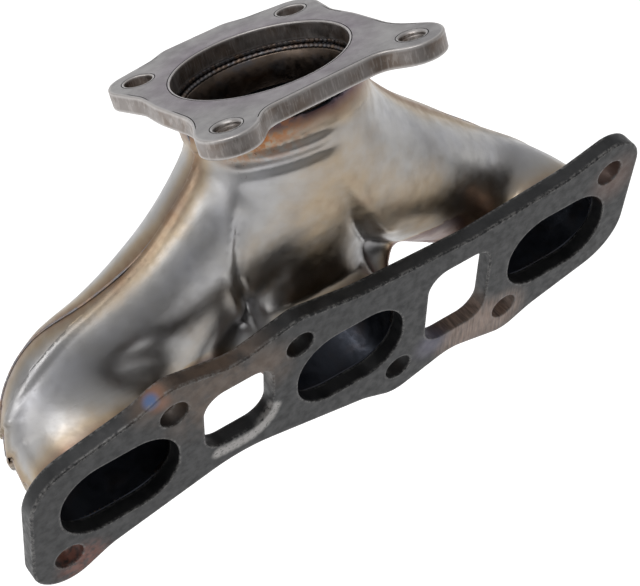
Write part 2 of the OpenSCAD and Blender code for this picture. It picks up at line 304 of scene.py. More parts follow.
def fold(p, t, line, width, fade_low=0.12, fade_high=0.06):
    """1 on a line over the front of the shells, falling off to the sides and past its ends."""
    x, at = np.array(line).T
    near = np.exp(-((p[:, 0] - np.interp(t, at, x)) / width) ** 2)
    start = smooth(t, at[0] - 0.02, at[0] + fade_low)
    return near * start * smooth(-t, -at[-1] - 0.02, -at[-1] + fade_high)


def folds(p, s, t, f2, f3):
    """Ridges and creases between the runners, and the dent in the side of the first."""
    front = smooth(s, 3, 9)
    change = 1.5 * fold(p, t, CREASE_12, 2.0) - 1.1 * fold(p, t, RIDGE_12, 2.6)
    change = change - 1.2 * fold(p, t, RIDGE_23, 3.4, 0.06)
    valley = np.exp(-((f2 - f3) / 1.5) ** 2) * smooth(t, 0.36, 0.5) * smooth(-t, -0.86, -0.74)
    dent = np.exp(-np.linalg.norm((p - DIMPLE) / DIMPLE_SIZE, axis=1) ** 2)
    return front * (change + 1.3 * valley) + 2.2 * dent


def off_slope(p):
    """How far a point lies on the engine side of the outlet axis."""
    return -((p - NECK_END) @ SLOPE)


# ---- Mesh from the field ----

def surface_net(field, low, high, step):
    """Quad mesh of field = 0 on a regular grid, one vertex in each crossed cell."""
    axes = [np.arange(low[k], high[k] + step, step) for k in range(3)]
    n = [len(a) for a in axes]
    grid = np.stack(np.meshgrid(*axes, indexing="ij"), -1).reshape(-1, 3)
    # Only the cells near the surface need the exact field.
    rough_axes = [np.arange(low[k], high[k] + 5 * step, 5 * step) for k in range(3)]
    rough = np.stack(np.meshgrid(*rough_axes, indexing="ij"), -1).reshape(-1, 3)
    rough = field(rough).reshape([len(a) for a in rough_axes])
    near = [np.clip(np.round((a - a[0]) / (5 * step)).astype(int), 0, rough.shape[k] - 1)
            for k, a in enumerate(axes)]
    values = rough[np.ix_(*near)].reshape(-1)
    close = np.nonzero(np.abs(values) < 8 * step)[0]
    for k in range(0, len(close), 200000):
        part = close[k:k + 200000]
        values[part] = field(grid[part])
    values = values.reshape(n)
    inside = values < 0
    total = np.zeros([m - 1 for m in n] + [3])
    count = np.zeros([m - 1 for m in n])
    cell = [slice(0, m - 1) for m in n]
    for axis in range(3):
        for da in (0, 1):
            for db in (0, 1):
                others = [k for k in range(3) if k != axis]
                s0 = [None] * 3
                s0[axis] = slice(0, n[axis] - 1)
                for k, dk in zip(others, (da, db)):
                    s0[k] = slice(dk, n[k] - 1 + dk)
                s1 = list(s0)
                s1[axis] = slice(1, n[axis])
                v0, v1 = values[tuple(s0)], values[tuple(s1)]
                crossed = (v0 < 0) != (v1 < 0)
                frac = np.where(crossed, v0 / np.where(v0 == v1, 1, v0 - v1), 0)
                point = np.zeros(list(v0.shape) + [3])
                point[..., axis] = frac
                for k, dk in zip(others, (da, db)):
                    point[..., k] = dk
                total += np.where(crossed[..., None], point, 0)
                count += crossed
    used = count > 0
    index = np.full(used.shape, -1)
    index[used] = np.arange(used.sum())
    corner = np.stack(np.nonzero(used), 1)
    verts = np.array(low) + step * (corner + total[used] / count[used][:, None])
    faces = []
    for axis in range(3):
        b, c = (axis + 1) % 3, (axis + 2) % 3
        s0 = [slice(1, m - 1) for m in n]
        s0[axis] = slice(0, n[axis] - 1)
        s1 = list(s0)
        s1[axis] = slice(1, n[axis])
        crossed = inside[tuple(s0)] != inside[tuple(s1)]
        at = np.stack(np.nonzero(crossed), 1)
        at[:, b] += 1
        at[:, c] += 1
        quad = []
        for db, dc in ((1, 1), (0, 1), (0, 0), (1, 0)):
            q = at.copy()
            q[:, b] -= db
            q[:, c] -= dc
            quad.append(index[tuple(q.T)])
        quad = np.stack(quad, 1)
        outward = inside[tuple(s0)][crossed]
        quad[~outward] = quad[~outward][:, ::-1]
        faces.append(quad)
    return verts, np.concatenate(faces)


def gradient(field, p, h=0.05):
    g = [field(p + h * e) - field(p - h * e) for e in np.eye(3)]
    return np.stack(g, 1) / (2 * h)


def settle(field, p, rounds=3):
    """Moves points onto field = 0."""
    for _ in range(rounds):
        g = gradient(field, p)
        p = p - (field(p) / np.maximum((g ** 2).sum(1), 0.05))[:, None] * g
    return p


def triangles(quads):
    return np.concatenate([quads[:, [0, 1, 2]], quads[:, [0, 2, 3]]])


def keep_above(verts, tris, level):
    """Cuts a triangle mesh along level = 0 and keeps the part where level > 0."""
    level = np.where(np.abs(level) < 1e-4, 1e-4, level)
    up = level > 0
    kept = [tris[up[tris].all(1)]]
    new, cuts = [], {}

    def cut(a, b):
        key = (min(a, b), max(a, b))
        if key not in cuts:
            f = level[key[0]] / (level[key[0]] - level[key[1]])
            cuts[key] = len(verts) + len(new)
            new.append(verts[key[0]] + f * (verts[key[1]] - verts[key[0]]))
        return cuts[key]

    extra = []
    for tri in tris[up[tris].any(1) & ~up[tris].all(1)].tolist():
        k = next(j for j in range(3) if up[tri[j]] != up[tri[j - 1]] and up[tri[j]] != up[tri[j - 2]])
        a, b, c = tri[k], tri[(k + 1) % 3], tri[(k + 2) % 3]
        ab, ac = cut(a, b), cut(a, c)
        if up[a]:
            extra.append((a, ab, ac))
        else:
            extra += [(ab, b, c), (ab, c, ac)]
    verts = np.concatenate([verts, np.array(new).reshape(-1, 3)])
    tris = np.concatenate(kept + [np.array(extra, int).reshape(-1, 3)])
    used = np.unique(tris)
    remap = np.full(len(verts), -1)
    remap[used] = np.arange(len(used))
    return verts[used], remap[tris]


# ---- Node trees ----

class Nodes:
    """Short calls for a material's node tree. Coordinates are in millimetres."""

    def __init__(self, name):
        self.material = bpy.data.materials.new(name)
        self.material.use_nodes = True
        self.tree = self.material.node_tree
        self.shader = self.tree.nodes["Principled BSDF"]
        coord = self.tree.nodes.new("ShaderNodeTexCoord")
        scale = self.tree.nodes.new("ShaderNodeVectorMath")
        scale.operation = "SCALE"
        scale.inputs["Scale"].default_value = 1000
        self.tree.links.new(coord.outputs["Object"], scale.inputs[0])
        self.mm = scale.outputs[0]

    def put(self, socket, value):
        if isinstance(value, bpy.types.NodeSocket):
            self.tree.links.new(value, socket)
        elif isinstance(value, tuple) and len(value) == 3 and socket.type == "RGBA":
            socket.default_value = (*value, 1)
        else:
            socket.default_value = value

    def attribute(self, name):
        node = self.tree.nodes.new("ShaderNodeAttribute")
        node.attribute_name = name
        return node.outputs["Fac"]

    def noise(self, size, detail=4, stretch=(1, 1, 1), rough=0.6):
        """Noise whose features are about size millimetres across."""
        move = self.tree.nodes.new("ShaderNodeMapping")
        move.inputs["Scale"].default_value = [1 / (size * s) for s in stretch]
        self.put(move.inputs["Vector"], self.mm)
        node = self.tree.nodes.new("ShaderNodeTexNoise")
        node.inputs["Scale"].default_value = 1
        node.inputs["Detail"].default_value = detail
        node.inputs["Roughness"].default_value = rough
        self.put(node.inputs["Vector"], move.outputs[0])
        return node.outputs["Fac"]

    def math(self, op, a, b=0.0, clamp=False):
        node = self.tree.nodes.new("ShaderNodeMath")
        node.operation = op
        node.use_clamp = clamp
        self.put(node.inputs[0], a)
        self.put(node.inputs[1], b)
        return node.outputs[0]

    def fade(self, value, low, high, to_low=0.0, to_high=1.0):
        node = self.tree.nodes.new("ShaderNodeMapRange")
        node.interpolation_type = "SMOOTHSTEP"
        for name, v in (("Value", value), ("From Min", low), ("From Max", high),
                        ("To Min", to_low), ("To Max", to_high)):
            self.put(node.inputs[name], v)
        return node.outputs["Result"]

    def spot(self, place, inner, outer):
        """1 within inner millimetres of a place, fading to 0 at outer."""
        node = self.tree.nodes.new("ShaderNodeVectorMath")
        node.operation = "DISTANCE"
        self.put(node.inputs[0], self.mm)
        node.inputs[1].default_value = place
        return self.fade(node.outputs["Value"], inner, outer, 1.0, 0.0)

    def mix(self, factor, a, b):
        node = self.tree.nodes.new("ShaderNodeMix")
        node.data_type = "RGBA"
        self.put(node.inputs["Factor"], factor)
        self.put(node.inputs["A"], a)
        self.put(node.inputs["B"], b)
        return node.outputs["Result"]

    def ramp(self, factor, stops):
        node = self.tree.nodes.new("ShaderNodeValToRGB")
        while len(node.color_ramp.elements) < len(stops):
            node.color_ramp.elements.new(0.5)
        for element, (place, colour) in zip(node.color_ramp.elements, stops):
            element.position = place
            element.color = (*colour, 1)
        self.put(node.inputs["Fac"], factor)
        return node.outputs["Color"]

    def bump(self, height, distance_mm, strength=1.0, under=None):
        node = self.tree.nodes.new("ShaderNodeBump")
        node.inputs["Distance"].default_value = distance_mm * MM
        node.inputs["Strength"].default_value = strength
        self.put(node.inputs["Height"], height)
        if under is not None:
            self.put(node.inputs["Normal"], under)
        return node.outputs["Normal"]

    def finish(self, colour, rough, metal, normal=None):
        self.put(self.shader.inputs["Base Color"], colour)
        self.put(self.shader.inputs["Roughness"], rough)
        self.put(self.shader.inputs["Metallic"], metal)
        if normal is not None:
            self.put(self.shader.inputs["Normal"], normal)
        return self.material


HEAT = ((0.0, (0.39, 0.39, 0.41)), (0.15, (0.38, 0.37, 0.36)), (0.34, (0.35, 0.28, 0.20)),
        (0.52, (0.23, 0.145, 0.09)), (0.68, (0.13, 0.07, 0.065)), (0.84, (0.075, 0.075, 0.12)),
        (1.0, (0.045, 0.04, 0.04)))


def shell_steel(name, tone):
    """Satin stainless sheet with heat tint, rust and burnt-on dirt."""
    n = Nodes(name)
    patchy = n.math("SUBTRACT", n.noise(14, 5), 0.5)
    # This attribute holds heat tint, and also painted shade along the outer sides of runners 1 and 3.
    heat = n.math("ADD", n.attribute("heat_tint_and_shade"), n.math("MULTIPLY", patchy, 0.32), clamp=True)
    colour = n.ramp(heat, [(p, tuple(c * tone for c in rgb)) for p, rgb in HEAT])
    # Uneven dull film over the bare sheet.
    film = n.fade(n.noise(30, 3), 0.42, 0.68)
    colour = n.mix(n.math("MULTIPLY", film, 0.35), colour, (0.25 * tone, 0.24 * tone, 0.24 * tone))
    speckle = n.fade(n.noise(1.3, 6, rough=0.75), 0.60, 0.68)
    rust = n.math("MULTIPLY", n.attribute("rust"), n.fade(n.noise(3.2, 6), 0.40, 0.60))
    colour = n.mix(rust, colour, (0.42, 0.16, 0.05))
    dark = n.math("MULTIPLY", speckle, n.fade(n.attribute("dirt"), 0.05, 0.9, 0.02, 0.9))
    colour = n.mix(dark, colour, (0.05, 0.035, 0.03))
    rough = n.fade(n.noise(6, 5), 0.3, 0.75, 0.30, 0.44)
    rough = n.math("ADD", rough, n.math("MULTIPLY", rust, 0.3))
    grain = n.bump(n.noise(0.5, 3, stretch=(1, 5, 5)), 0.02, 0.35)
    dents = n.bump(n.noise(16, 2), 0.5, 0.55, grain)
    scratch = n.bump(n.fade(n.noise(0.8, 2, stretch=(14, 1, 1)), 0.62, 0.7), 0.03, 0.3, dents)
    return n.finish(colour, rough, 1.0, scratch)


def burnt_inside():
    """Sooty inside of the runners, straw and blue where they meet under the outlet."""
    n = Nodes("shell_inside")
    under = n.spot(tuple(NECK_END - 38 * AXIS), 14, 40)
    patchy = n.math("SUBTRACT", n.noise(10, 5), 0.5)
    glow = n.math("ADD", under, n.math("MULTIPLY", patchy, 0.7), clamp=True)
    colour = n.ramp(glow, [(0.0, (0.05, 0.055, 0.07)), (0.3, (0.07, 0.055, 0.05)),
                           (0.5, (0.30, 0.18, 0.08)), (0.8, (0.45, 0.33, 0.19)),
                           (1.0, (0.22, 0.22, 0.27))])
    rough = n.fade(n.noise(4, 5), 0.3, 0.7, 0.34, 0.55)
    return n.finish(colour, rough, 0.9, n.bump(n.noise(2.5, 5), 0.12, 0.5))


def scaled_plate():
    """Near-black mill scale with brown patches and worn corners."""
    n = Nodes("plate_scale")
    base = n.mix(n.fade(n.noise(9, 6), 0.35, 0.7), (0.008, 0.0085, 0.0095), (0.021, 0.021, 0.022))
    base = n.mix(n.fade(n.noise(1.2, 5, rough=0.8), 0.60, 0.75, 0, 0.35), base, (0.085, 0.08, 0.08))
    brown = n.math("MULTIPLY", n.fade(n.noise(11, 5), 0.25, 0.6), 0.75)
    for place, inner, outer in (((-62, 0, 27), 8, 30), ((-40, 3, 22), 4, 20), ((-85, 3, 38), 2, 16)):
        stain = n.math("MULTIPLY", brown, n.spot(place, inner, outer))
        base = n.mix(stain, base, (0.115, 0.078, 0.055))
    # Brushed bare patch under the right window.
    brush = n.fade(n.noise(1.0, 4, stretch=(1, 8, 12)), 0.3, 0.7, 0.35, 1.0)
    for place, inner, outer in (((58, 0, -24), 8, 20), ((76, 0, -29), 6, 18)):
        base = n.mix(n.math("MULTIPLY", brush, n.spot(place, inner, outer)), base, (0.25, 0.18, 0.145))
    base = n.mix(n.spot((41, 0, -22), 2, 12), base, (0.085, 0.08, 0.11))
    # Light smear along the lower rim of the left window.
    smear = 0.0
    for x, z in ((-61, -13.6), (-58, -14), (-55, -14.2), (-52, -14.4), (-49, -14.4), (-46, -14),
                 (-43, -13), (-40.5, -11.5), (-38.5, -9.5), (-37, -7), (-36, -4.5)):
        smear = n.math("MAXIMUM", smear, n.spot((x, 0, z), 1.6, 4.2))
    smear = n.math("MULTIPLY", smear, n.fade(n.noise(1.6, 6), 0.30, 0.48))
    base = n.mix(smear, base, (0.30, 0.29, 0.28))
    # Heat spot on the top edge, blue inside orange.
    base = n.mix(n.spot((-84, 3, 36), 1.5, 7), base, (0.20, 0.085, 0.045))
    base = n.mix(n.spot((-87, 2, 38), 1.0, 4.5), base, (0.07, 0.11, 0.22))
    rust = n.math("MULTIPLY", n.spot((-122, 2, -33), 3, 15), n.fade(n.noise(3, 5), 0.3, 0.6))
    base = n.mix(rust, base, (0.14, 0.045, 0.028))
    base = n.mix(n.spot((131, 3, 20), 2, 18), base, (0.10, 0.062, 0.05))
    edge = n.math("MULTIPLY", n.attribute("wear"), n.fade(n.noise(1.8, 6, rough=0.75), 0.42, 0.62))
    base = n.mix(n.math("MULTIPLY", edge, 0.7), base, (0.16, 0.155, 0.15))
    rough = n.fade(n.noise(4, 5), 0.3, 0.7, 0.36, 0.58)
    fine = n.bump(n.noise(0.7, 5), 0.02, 0.25)
    mill = n.bump(n.noise(0.5, 3, stretch=(1, 1, 24)), 0.015, 0.3, fine)
    pits = n.bump(n.fade(n.noise(2.2, 5), 0.6, 0.75), -0.04, 0.3, mill)
    return n.finish(base, rough, 0.35, pits)


def ground_plate():
    """Ground steel, tinted round the bore and browner on its sides."""
    n = Nodes("plate_ground")
    base = n.mix(n.fade(n.noise(16, 5), 0.35, 0.7), (0.33, 0.32, 0.32), (0.23, 0.22, 0.225))
    bore = tuple(BORE_BACK + OUTLET_T * AXIS)
    ring = n.math("MULTIPLY", n.spot(bore, BORE_R, BORE_R + 17),
                  n.fade(n.noise(12, 4), 0.2, 0.7, 0.3, 1.0))
    base = n.mix(n.math("MULTIPLY", ring, 0.7), base, (0.20, 0.165, 0.20))
    base = n.mix(n.math("MULTIPLY", n.attribute("side"), 0.8), base, (0.24, 0.215, 0.20))
    warm = n.math("MULTIPLY", n.attribute("side"), n.fade(n.noise(12, 5), 0.4, 0.65))
    base = n.mix(n.math("MULTIPLY", warm, 0.7), base, (0.16, 0.115, 0.085))
    streak = n.math("MULTIPLY", n.attribute("side"),
                    n.fade(n.noise(0.7, 4, stretch=(1, 5, 10)), 0.5, 0.62))
    base = n.mix(n.math("MULTIPLY", streak, 0.35), base, (0.45, 0.42, 0.40))
    edge = n.math("MULTIPLY", n.attribute("wear"), 0.5)
    base = n.mix(edge, base, (0.62, 0.60, 0.59))
    rough = n.fade(n.noise(5, 5), 0.3, 0.7, 0.34, 0.5)
    grind = n.bump(n.noise(0.6, 3, stretch=(24, 1, 1)), 0.02, 0.35)
    nicks = n.bump(n.fade(n.noise(1.8, 5), 0.6, 0.72), -0.08, 0.4, grind)
    return n.finish(base, rough, 0.95, nicks)


def weld_metal(name, tone):
    n = Nodes(name)
    heat = n.fade(n.noise(5, 5), 0.25, 0.75)
    stops = ((0.0, (0.20, 0.14, 0.10)), (0.4, (0.14, 0.11, 0.095)), (0.7, (0.10, 0.10, 0.11)),
             (1.0, (0.20, 0.18, 0.16)))
    colour = n.ramp(heat, [(p, tuple(c * tone for c in rgb)) for p, rgb in stops])
    rough = n.fade(n.noise(2, 4), 0.3, 0.7, 0.28, 0.5)
    return n.finish(colour, rough, 1.0, n.bump(n.noise(0.7, 4), 0.08, 0.5))


def dark_collar():
    n = Nodes("collar_dark")
    colour = n.ramp(n.noise(9, 5), [(0.3, (0.07, 0.055, 0.045)), (0.5, (0.13, 0.10, 0.08)),
                                    (0.7, (0.10, 0.10, 0.11))])
    rough = n.fade(n.noise(3, 4), 0.3, 0.7, 0.3, 0.5)
    return n.finish(colour, rough, 1.0, n.bump(n.noise(0.8, 4, stretch=(1, 1, 6)), 0.05, 0.5))


def pale_floor():
    n = Nodes("floor_paper")
    colour = n.mix(n.noise(400, 2), (0.93, 0.93, 0.93), (0.96, 0.96, 0.96))
    n.shader.inputs["Emission Color"].default_value = (1, 1, 1, 1)
    n.shader.inputs["Emission Strength"].default_value = 0.5
    return n.finish(colour, 0.9, 0.0)


# ---- Blender objects ----

def add_object(name, verts, faces, material, nodes, flat=None, attributes=None):
    """New piece from millimetre points. flat marks faces that stay flat shaded."""
    mesh = bpy.data.meshes.new(name)
    mesh.from_pydata([tuple(v * MM) for v in np.asarray(verts, float)], [],
                     [tuple(int(k) for k in f) for f in faces])
    shade = np.ones(len(mesh.polygons), bool)
    if flat is not None:
        shade &= ~np.asarray(flat, bool)
    mesh.polygons.foreach_set("use_smooth", shade)
    for key, values in (attributes or {}).items():
        layer = mesh.attributes.new(key, "FLOAT", "POINT")
        layer.data.foreach_set("value", np.asarray(values, np.float32))
    mesh.materials.append(material)
    obj = bpy.data.objects.new(name, mesh)
    bpy.context.scene.collection.objects.link(obj)
    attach(obj, "root")
    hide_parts(*nodes)
    return obj


def side_normal(p, q):
    dx, dy = q[0] - p[0], q[1] - p[1]
    length = math.hypot(dx, dy)
    c = (p[2] - q[2]) / length
    s = math.sqrt(1 - c * c)
    return (c * dx + s * dy) / length, (c * dy - s * dx) / length


def wrap(circles, step=3.0):
    """Outline round signed circles (x, y, r): r > 0 is convex, r < 0 is concave."""
    points = []
    for i, (x, y, r) in enumerate(circles):
        p, q = circles[i - 1], circles[(i + 1) % len(circles)]
        n0, n1 = side_normal(p, (x, y, r)), side_normal((x, y, r), q)
        a0 = math.degrees(math.atan2(n0[1], n0[0]))
        turn = (math.degrees(math.atan2(n1[1], n1[0])) - a0) % 360
        if r > 0:
            turn = 0 if turn > 359 else turn
        else:
            turn = 0 if turn < 1 else turn - 360
        count = max(1, math.ceil(abs(turn) / step))
        for k in range(count + 1):
            a = math.radians(a0 + turn * k / count)
            points.append((x + r * math.cos(a), y + r * math.sin(a)))
    points = np.array(points)
    return points[np.linalg.norm(points - np.roll(points, 1, axis=0), axis=1) > 1e-4]


def circle(x, y, r, count=48):
    a = np.linspace(0, 2 * math.pi, count, endpoint=False)
    return np.stack([x + r * np.cos(a), y + r * np.sin(a)], 1)


def grown(loop, amount):
    """Moves a loop's points along their normals; positive is outward for a left-turning loop."""
    edge = np.roll(loop, -1, axis=0) - loop
    normal = np.stack([edge[:, 1], -edge[:, 0]], 1)
    normal /= np.linalg.norm(normal, axis=1, keepdims=True)
    both = normal + np.roll(normal, 1, axis=0)
    both /= np.linalg.norm(both, axis=1, keepdims=True)
    return loop + amount * both


def edge_profile(thickness, bevel):
    """(how far in, depth, wear) down one edge of a plate, with rounded corners."""
    arc = [(bevel * (1 - math.sin(a)), bevel * (1 - math.cos(a)), 1.0)
           for a in np.radians((0, 30, 60, 90))]
    top = [(bevel + 0.7, 0, 0.0)] + arc + [(0, bevel + 0.5, 0.3), (0, bevel + 0.9, 0.0)]
    return top + [(i, thickness - d, w) for i, d, w in reversed(top)]


def plate(outline, holes, thickness, bevel, place, thread=None):
    """Plate with rounded edges. place(points, depth) sets it in space. Holes are loops; a hole
    listed in thread gets a helical thread of that pitch."""
    verts, faces, flat, wear, side = [], [], [], [], []
    first, last = [], []
    for index, loop in enumerate([outline] + holes):
        inward = 1 if index == 0 else -1
        pitch = (thread or {}).get(index)
        if pitch:
            levels = [(1.7, 0, 0.0), (1.0, 0, 0.8), (0.1, 0.9, 0.3)]
            levels += [(None, d, 0.0) for d in np.arange(1.0, thickness - 0.4, pitch / 6)]
            levels += [(0.1, thickness - 0.3, 0.0), (0.4, thickness, 0.2)]
        else:
            levels = edge_profile(thickness, bevel if index == 0 else bevel * 0.7)
        starts = []
        for inset, depth, worn in levels:
            if inset is None:
                phase = (depth / pitch - np.arange(len(loop)) / len(loop)) % 1
                ring = grown(loop, 0.55 * np.abs(2 * phase - 1)[:, None])
            elif pitch:
                ring = grown(loop, inset)
            else:
                ring = grown(loop, -inward * inset)
            starts.append(len(verts))
            verts += [place(q, depth) for q in ring]
            wear += [worn] * len(ring)
            side += [0.0 if depth <= 0 else 1.0] * len(ring)
        m = len(loop)
        for s0, s1 in zip(starts, starts[1:]):
            for k in range(m):
                j = (k + 1) % m
                quad = (s0 + k, s1 + k, s1 + j, s0 + j)
                faces.append(quad if index == 0 else quad[::-1])
                flat.append(False)
        first.append((starts[0], m, levels[0][0], pitch))
        last.append((starts[-1], m, levels[-1][0], pitch))
    for ends, upward in ((first, True), (last, False)):
        index = [s + k for s, m, _, _ in ends for k in range(m)]
        loops = []
        for s, m, _, _ in ends:
            loops.append([Vector(flat_point(verts[s + k], place)) for k in range(m)])
        for tri in tessellate_polygon(loops):
            tri = [index[k] for k in tri]
            a, b, c = (np.array(verts[k]) for k in tri)
            normal = np.cross(b - a, c - a)
            out = place.normal if upward else -place.normal
            faces.append(tri if normal @ out > 0 else tri[::-1])
            flat.append(True)
    return np.array(verts), faces, flat, wear, side


def flat_point(p, place):
    d = np.asarray(p) - place.origin
    return (d @ place.u, d @ place.v, 0.0)


class Place:
    """Puts plate points (u, v) and a depth below the face into space."""

    def __init__(self, origin, u, v):
        self.origin, self.u, self.v = (np.array(a, float) for a in (origin, u, v))
        self.normal = np.cross(self.u, self.v)

    def __call__(self, q, depth):
        return self.origin + q[0] * self.u + q[1] * self.v - depth * self.normal


HEAD = Place((0, 0, 0), (1, 0, 0), (0, 0, 1))
BOLTS = [(PORTS[p] + sx * BOLT_DX, sz * BOLT_DZ)
         for p, sx, sz in ((0, -1, -1), (0, 1, 1), (1, -1, 1), (1, 1, -1), (2, -1, -1), (2, 1, 1))]


def head_outline():
    def lobe(b):
        return (*BOLTS[b], LOBE_R)

    def dip(x, z, r, way):
        return (x, z + way * r, -r)

    waist = PORT_PITCH / 2
    return [lobe(0), dip(-PORT_PITCH + 2, -31.8, 25, -1), dip(-waist, -21.8, 60, -1),
            dip(0, -33, 24, -1), lobe(3), dip(waist, -34, 22, -1), lobe(4),
            dip(PORT_PITCH, -33.6, 28, -1), (PORT_PITCH + 15, -6, 22.5), lobe(5),
            dip(PORT_PITCH - 8, 34.6, 60, 1), dip(waist + 5, 31.6, 60, 1), dip(10, 34.5, 50, 1),
            lobe(2), dip(-waist, 34.6, 22, 1), lobe(1), dip(-PORT_PITCH, 33, 26, 1),
            (-PORT_PITCH - 14, 6, 22.5)]


def rounded(x, y, w, h, r):
    return wrap([(x + sx * (w / 2 - r), y + sy * (h / 2 - r), r)
                 for sx, sy in ((-1, -1), (1, -1), (1, 1), (-1, 1))], 4)


def build_head_flange():
    waist = PORT_PITCH / 2
    holes = [rounded(x, 0, PORT_W, PORT_H, PORT_H / 2 - 1.2) for x in PORTS]
    holes += [rounded(-waist, 6.3, 30.4, 32.4, WINDOW_R)]
    holes += [rounded(waist + 0.6, -0.3, 30.6, 41.2, WINDOW_R)]
    holes += [circle(x, z, BOLT_D / 2) for x, z in BOLTS]
    verts, faces, flat, wear, _ = plate(wrap(head_outline()), holes, HEAD_T, 0.7, HEAD)
    add_object("head_flange_plate", verts, faces, scaled_plate(), ["head_flange"],
               flat, {"wear": wear})


def outlet_outline():
    """In plate coordinates: the second value runs up the slope, towards the engine side."""
    h = 38.0
    return [(-h, -38, LOBE_OUT), (-19.5, -48, -9), (19.5, -48, -9), (h, -38, LOBE_OUT),
            (68.3, -15, -26), (0, BORE_SHIFT, HUB_R), (57.8, 18, -16), (33.5, 36, LOBE_OUT),
            (24.5, 59.8, -10), (11, 44.4, 10), (-11, 44.4, 10), (-24.5, 59.8, -10),
            (-33.5, 36, LOBE_OUT), (-57.8, 18, -16), (0, BORE_SHIFT, HUB_R), (-68.3, -15, -26)]


def build_outlet_flange():
    outline = wrap(outlet_outline())
    bore = circle(0, BORE_SHIFT, BORE_R, 120)
    holes = [bore, circle(-33.5, 36, PLAIN_R), circle(33.5, 36, PLAIN_R),
             circle(-38, -38, TAPPED_R), circle(38, -38, TAPPED_R)]

    class Slope(Place):
        def __call__(self, q, depth):
            return self.origin + q[0] * self.u + q[1] * SLOPE - depth * AXIS

    place = Slope(OUTLET_FACE, (1, 0, 0), -SLOPE)
    place.normal = AXIS
    verts, faces, flat, wear, side = plate(outline, holes, OUTLET_T, 0.6, place, {4: 1.5, 5: 1.5})
    # The slope axis is left-handed with X and the face normal, so the walls are turned over.
    faces = [f if flat[k] else tuple(f)[::-1] for k, f in enumerate(faces)]
    add_object("outlet_flange_plate", verts, faces, ground_plate(), ["outlet_flange"],
               flat, {"wear": wear, "side": side})


def tube(path, radius, closed, ripple=0.0, pitch=2.2, sides=10):
    """Bead along a path, with the ripples of a weld."""
    path = np.asarray(path, float)
    if closed:
        ahead, behind = np.roll(path, -1, axis=0), np.roll(path, 1, axis=0)
    else:
        ahead = np.concatenate([path[1:], [2 * path[-1] - path[-2]]])
        behind = np.concatenate([[2 * path[0] - path[1]], path[:-1]])
    heading = unit(ahead - behind)
    length = np.concatenate([[0], np.cumsum(np.linalg.norm(np.diff(path, axis=0), axis=1))])
    r = radius * (1 + ripple * np.abs(np.sin(length * math.pi / pitch)) - ripple / 2)
    verts, faces = [], []
    up = np.array([0.31, 0.27, 0.91])
    for k in range(len(path)):
        up = up - (up @ heading[k]) * heading[k]
        up /= np.linalg.norm(up)
        across = np.cross(heading[k], up)
        for j in range(sides):
            a = 2 * math.pi * j / sides
            verts.append(path[k] + r[k] * (math.cos(a) * up + math.sin(a) * across))
    rings = len(path)
    for k in range(rings if closed else rings - 1):
        n = (k + 1) % rings
        for j in range(sides):
            i = (j + 1) % sides
            faces.append((k * sides + j, k * sides + i, n * sides + i, n * sides + j))
    if not closed:
        faces.append(tuple(range(sides))[::-1])
        faces.append(tuple((rings - 1) * sides + j for j in range(sides)))
    return np.array(verts), faces


def along_path(points, step=0.5):
    """Even points along a rough path."""
    points = np.asarray(points, float)
    s = np.concatenate([[0], np.cumsum(np.linalg.norm(np.diff(points, axis=0), axis=1))])
    at = np.linspace(0, s[-1], max(3, int(s[-1] / step)))
    return np.stack([np.interp(at, s, points[:, k]) for k in range(3)], 1)


def round_path(r, height, count=360):
    a = np.linspace(0, 2 * math.pi, count, endpoint=False)
    return (BORE_BACK + height * AXIS
            + r * (np.cos(a)[:, None] * np.array([1.0, 0, 0]) + np.sin(a)[:, None] * SLOPE))


def runner_edge(i, side, t_from, t_to):
    """Line along the widest part of runner i, on its left (-1) or right (1)."""
    t = np.linspace(t_from, t_to, 120)
    ctrl = runner_points(i)
    heading = unit(bezier_speed(*ctrl, t))
    up = unit(np.stack([0 * t, -heading[:, 2], heading[:, 1]], 1))
    across = unit(np.cross(heading, up))
    return bezier(*ctrl, t) + side * spline(RUNNER_A[i], t)[:, None] * across


def on_surface(points):
    """Moves points onto the shell along its slope."""
    return settle(shell_field, np.asarray(points, float), 4)


def add_bead(name, path, radius, closed, node, ripple=0.25):
    verts, faces = tube(path, radius, closed, ripple)
    add_object(name, verts, faces, SEAM if radius <= SEAM_R else WELD, [node])


def build_beads():
    w = np.linspace(0, 2 * math.pi, 300, endpoint=False)
    for i, x in enumerate(PORTS):
        c, s = np.cos(w), np.sin(w)
        ring = np.stack([x + (PORT_A + 1) * np.sign(c) * np.abs(c) ** (2 / PORT_SQUARE),
                         0 * w + HEAD_T + 0.9,
                         (PORT_B + 1) * np.sign(s) * np.abs(s) ** (2 / PORT_SQUARE)], 1)
        add_bead("port_bead_%d" % (i + 1), along_path(np.concatenate([ring, ring[:1]])), 2.0, False,
                 "port_weld_%d" % (i + 1))
    for name, i, side in (("left", 0, -1), ("right", 2, 1)):
        line = on_surface(runner_edge(i, side, SEAM_FROM, SEAM_TO))
        add_bead(name + "_seam_bead", along_path(line), SEAM_R, False, name + "_seam_weld", 0.1)
    for name, rim in (("left", LEFT_RIM), ("right", RIGHT_RIM)):
        x, t = rim_loop(rim)
        keep = t > 0.05
        line = bezier(*runner_points(1), t[keep])
        line[:, 0] = x[keep]
        add_bead("crotch_bead_" + name, along_path(on_surface(line)), CROTCH_R, False,
                 "crotch_weld_" + name, 0.15)
    add_bead("outlet_bead", round_path(NECK_R + 1.3, -0.9), 2.1, True, "outlet_weld")
    add_bead("collar_bead", round_path(NECK_R - WALL - 0.6, -NECK_GAP - 0.6), 0.9, True,
             "collar_weld", 0.4)


